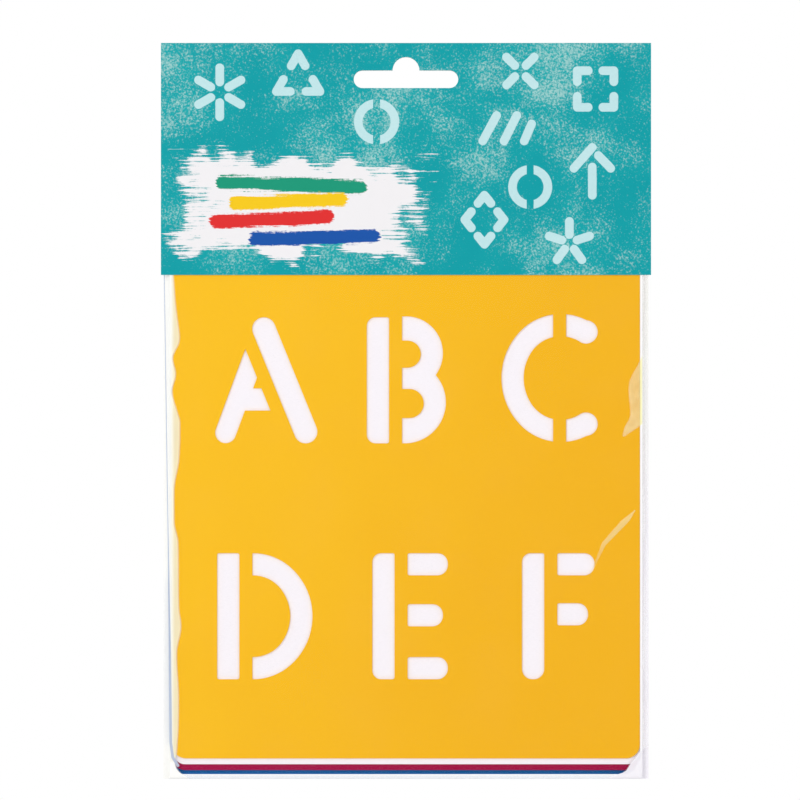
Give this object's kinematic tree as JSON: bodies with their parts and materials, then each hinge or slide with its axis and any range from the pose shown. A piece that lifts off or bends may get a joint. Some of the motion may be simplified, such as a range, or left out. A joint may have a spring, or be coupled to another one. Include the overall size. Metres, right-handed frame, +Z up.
{
  "type": "lettering stencil",
  "caption": "Letter and number stencil plates of flexible plastic in a clear film bag, closed by a folded header card with a hang slot.",
  "frame": {"origin": "middle of the hang slot, half way through the pack's depth", "axes": "+Z up, -Y the front of the pack, +X to the right as seen from the front"},
  "size_m": [0.15, 0.005, 0.2252],
  "materials": {
    "header_card": "satin",
    "tape": "matte",
    "film": "gloss",
    "yellow_plastic": "satin",
    "card": "matte",
    "red_plastic": "satin",
    "green_plastic": "satin",
    "orange_plastic": "satin",
    "magenta_plastic": "satin",
    "blue_plastic": "satin"
  },
  "bodies": {
    "pack": {"header_back_panel": "header_card", "back_tape": "tape", "bag_front_film": "film", "bag_back_film": "film", "bag_left_seal": "film", "bag_right_seal": "film", "bag_bottom_fold": "film"},
    "spine": {"header_spine": "header_card"},
    "front_flap": {"header_front_panel": "header_card", "front_tape": "tape"},
    "sheet_a_f": {"stencil_a_f": "yellow_plastic"},
    "sheet_card": {"backing_card": "card"},
    "sheet_g_l": {"stencil_g_l": "red_plastic"},
    "sheet_m_r": {"stencil_m_r": "green_plastic"},
    "sheet_s_x": {"stencil_s_x": "orange_plastic"},
    "sheet_y_4": {"stencil_y_4": "magenta_plastic"},
    "sheet_5_0": {"stencil_5_0": "blue_plastic"}
  },
  "joints": [
    {"name": "spine_crease", "type": "hinge", "parent": "pack", "child": "spine", "pos_m": [0, 0.00233, 0.0109], "axis": [-1, 0, 0], "range_deg": [0, 90]},
    {"name": "front_crease", "type": "hinge", "parent": "spine", "child": "front_flap", "pos_m": [0, -0.00233, 0.0109], "axis": [-1, 0, 0], "range_deg": [0, 90]},
    {"name": "sheet_a_f_slide", "type": "slide", "parent": "pack", "child": "sheet_a_f", "axis": [0, 0, 1], "range_m": [-0.00535, 0.0428]},
    {"name": "sheet_card_slide", "type": "slide", "parent": "pack", "child": "sheet_card", "axis": [0, 0, 1], "range_m": [-0.00355, 0.0446]},
    {"name": "sheet_g_l_slide", "type": "slide", "parent": "pack", "child": "sheet_g_l", "axis": [0, 0, 1], "range_m": [-0.00175, 0.0464]},
    {"name": "sheet_m_r_slide", "type": "slide", "parent": "pack", "child": "sheet_m_r", "axis": [0, 0, 1], "range_m": [-0.00255, 0.0456]},
    {"name": "sheet_s_x_slide", "type": "slide", "parent": "pack", "child": "sheet_s_x", "axis": [0, 0, 1], "range_m": [-0.00305, 0.0451]},
    {"name": "sheet_y_4_slide", "type": "slide", "parent": "pack", "child": "sheet_y_4", "axis": [0, 0, 1], "range_m": [-0.00225, 0.0459]},
    {"name": "sheet_5_0_slide", "type": "slide", "parent": "pack", "child": "sheet_5_0", "axis": [0, 0, 1], "range_m": [-0.00045, 0.0477]}
  ]
}
